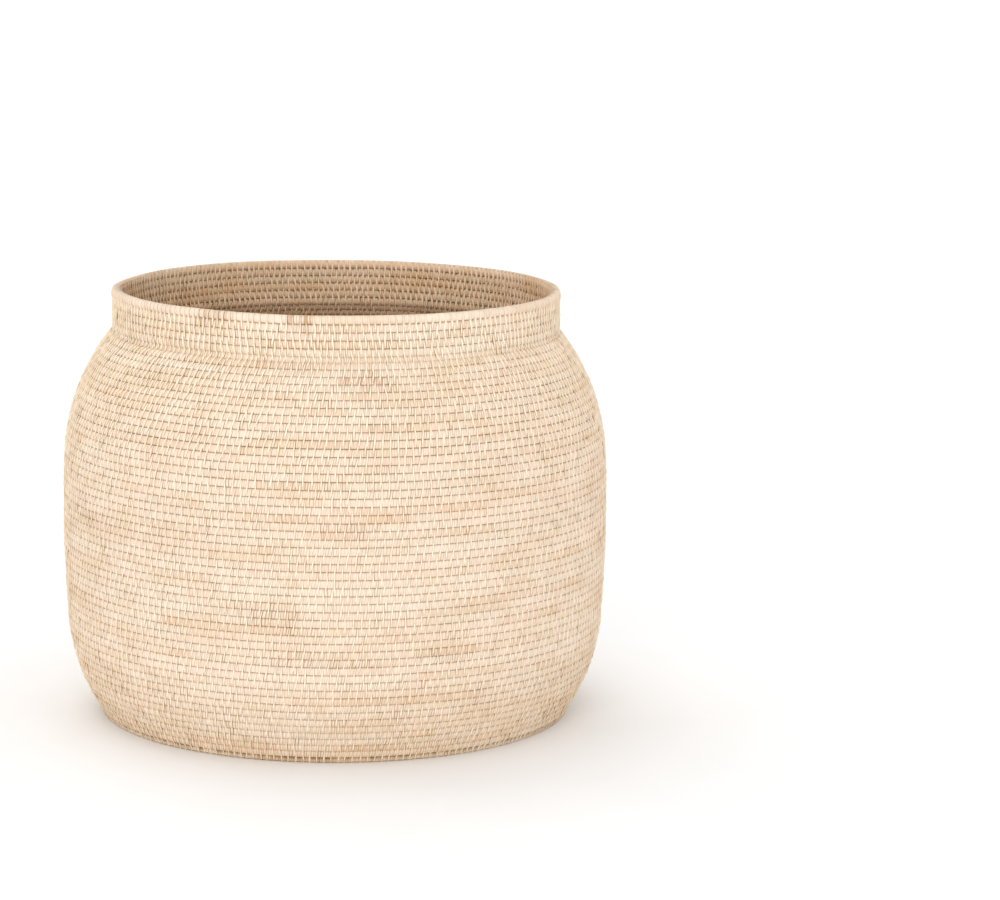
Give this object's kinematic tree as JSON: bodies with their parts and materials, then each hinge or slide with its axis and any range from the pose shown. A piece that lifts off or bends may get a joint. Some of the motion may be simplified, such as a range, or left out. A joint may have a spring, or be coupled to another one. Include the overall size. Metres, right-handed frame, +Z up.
{
  "type": "storage basket",
  "caption": "Round open storage basket of coiled rattan bound with split peel, with a full belly, a rounded shoulder, an upright collar and a smooth rim.",
  "frame": {"origin": "on the floor at the middle of the base", "axes": "+Z up the basket's axis, out of its mouth; +X and +Y are free, as the basket is round"},
  "size_m": [0.61, 0.61, 0.4796],
  "materials": {
    "split_peel": "satin natural split peel",
    "rattan_core": "matt unfinished cane",
    "rim_peel": "satin natural split peel, closely wrapped",
    "knot_peel": "satin twisted peel"
  },
  "bodies": {
    "root": {"start_knot": "knot_peel", "base_core_01": "rattan_core", "base_core_02": "rattan_core", "base_core_03": "rattan_core", "base_core_04": "rattan_core", "base_core_05": "rattan_core", "base_binding_01": "split_peel", "base_binding_02": "split_peel", "base_binding_03": "split_peel", "base_binding_04": "split_peel", "base_binding_05": "split_peel", "foot_core": "rattan_core", "foot_binding": "split_peel", "wall_core_01": "rattan_core", "wall_core_02": "rattan_core", "wall_core_03": "rattan_core", "wall_core_04": "rattan_core", "wall_core_05": "rattan_core", "wall_core_06": "rattan_core", "wall_core_07": "rattan_core", "wall_core_08": "rattan_core", "wall_core_09": "rattan_core", "wall_core_10": "rattan_core", "wall_core_11": "rattan_core", "wall_core_12": "rattan_core", "wall_core_13": "rattan_core", "wall_core_14": "rattan_core", "wall_core_15": "rattan_core", "wall_core_16": "rattan_core", "wall_core_17": "rattan_core", "wall_core_18": "rattan_core", "wall_binding_01": "split_peel", "wall_binding_02": "split_peel", "wall_binding_03": "split_peel", "wall_binding_04": "split_peel", "wall_binding_05": "split_peel", "wall_binding_06": "split_peel", "wall_binding_07": "split_peel", "wall_binding_08": "split_peel", "wall_binding_09": "split_peel", "wall_binding_10": "split_peel", "wall_binding_11": "split_peel", "wall_binding_12": "split_peel", "wall_binding_13": "split_peel", "wall_binding_14": "split_peel", "wall_binding_15": "split_peel", "wall_binding_16": "split_peel", "wall_binding_17": "split_peel", "wall_binding_18": "split_peel", "collar_core": "rattan_core", "collar_binding": "split_peel", "rim_core": "rattan_core", "rim_binding": "rim_peel"}
  },
  "joints": []
}
